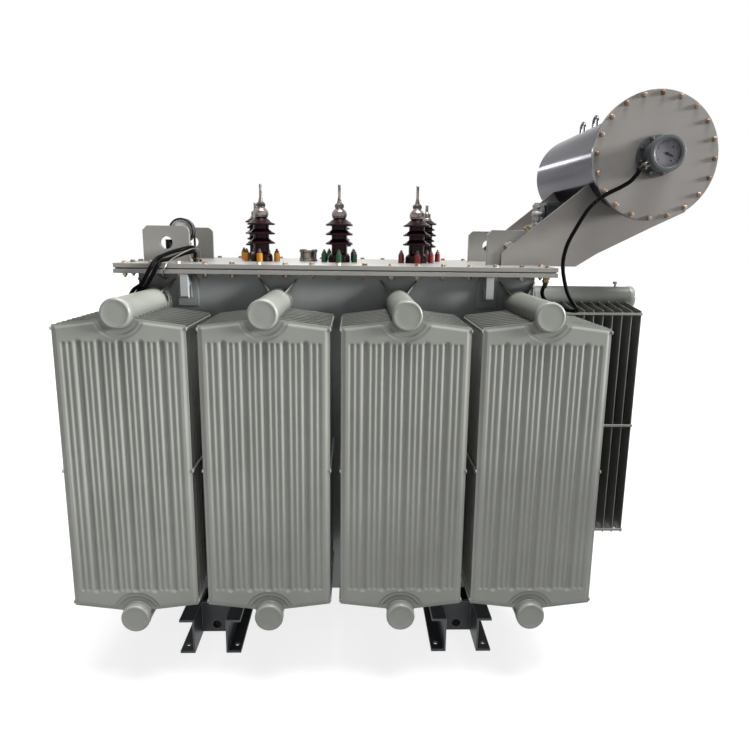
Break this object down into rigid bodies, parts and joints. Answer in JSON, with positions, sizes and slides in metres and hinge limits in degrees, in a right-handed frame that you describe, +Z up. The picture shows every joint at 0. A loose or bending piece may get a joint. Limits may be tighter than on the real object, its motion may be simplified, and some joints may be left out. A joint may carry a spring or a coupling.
{
  "type": "power transformer",
  "caption": "Oil-filled power transformer: steel tank on channel skids with pressed-panel radiators, porcelain bushings on the cover and an oil conservator drum on brackets.",
  "frame": {"origin": "on the ground, at the centre of the skids' anchor holes", "axes": "+X along the tank's length, towards the conservator end; +Y from the front radiators to the rear ones; +Z up"},
  "size_m": [2.5845, 1.836, 2.4359],
  "materials": {
    "skid_paint": "satin",
    "tank_paint": "satin",
    "radiator_paint": "satin",
    "cover_paint": "satin",
    "bracket_paint": "satin",
    "gasket_rubber": "matte",
    "porcelain": "gloss",
    "terminal_metal": "satin",
    "terminal_brass": "satin",
    "clamp_yellow": "gloss",
    "clamp_green": "gloss",
    "clamp_red": "gloss",
    "bare_steel": "satin",
    "dark_casing": "satin",
    "black_plastic": "matte",
    "gland_brass": "satin",
    "dial_face": "matte",
    "cable_jacket": "satin",
    "capillary": "satin",
    "valve_white": "satin",
    "gauge_casting": "satin"
  },
  "bodies": {
    "root": {"skid_left": "skid_paint", "skid_right": "skid_paint", "tank_floor": "tank_paint", "tank_front_wall": "tank_paint", "tank_rear_wall": "tank_paint", "tank_left_wall": "tank_paint", "tank_right_wall": "tank_paint", "tank_flange": "cover_paint", "pipe_stubs": "radiator_paint", "stub_ribs": "radiator_paint", "cover_gasket": "gasket_rubber", "tank_cover": "cover_paint", "vent_plug": "terminal_brass", "hooks_front": "cover_paint", "hooks_rear": "cover_paint", "lug_front_left": "cover_paint", "lug_rear_left": "cover_paint", "lug_front_right": "cover_paint", "lug_rear_right": "cover_paint", "hv_porcelain": "porcelain", "hv_terminals": "terminal_metal", "lv_porcelain": "porcelain", "lv_terminals": "terminal_brass", "clamps_yellow": "clamp_yellow", "clamps_green": "clamp_green", "clamps_red": "clamp_red", "tap_changer_head": "bare_steel", "thermometer_case": "black_plastic", "thermometer_dial": "dial_face", "cover_gland": "black_plastic", "tank_glands": "gland_brass", "gauge_gland": "bare_steel", "gauge_cable": "cable_jacket", "thermometer_cable": "cable_jacket", "sensor_cable": "cable_jacket", "capillary_tube": "capillary", "conservator_shell": "bare_steel", "conservator_front_plate": "bracket_paint", "conservator_rear_plate": "bare_steel", "bracket_front": "bracket_paint", "bracket_rear": "bracket_paint", "oil_pipe": "bracket_paint", "relay": "dark_casing", "relay_valve": "valve_white", "gauge_body": "gauge_casting", "gauge_dial": "dial_face", "radiator_front_1": "radiator_paint", "radiator_front_2": "radiator_paint", "radiator_front_3": "radiator_paint", "radiator_front_4": "radiator_paint", "radiator_rear_1": "radiator_paint", "radiator_rear_2": "radiator_paint", "radiator_rear_3": "radiator_paint", "radiator_rear_4": "radiator_paint", "radiator_end": "radiator_paint"}
  },
  "joints": []
}
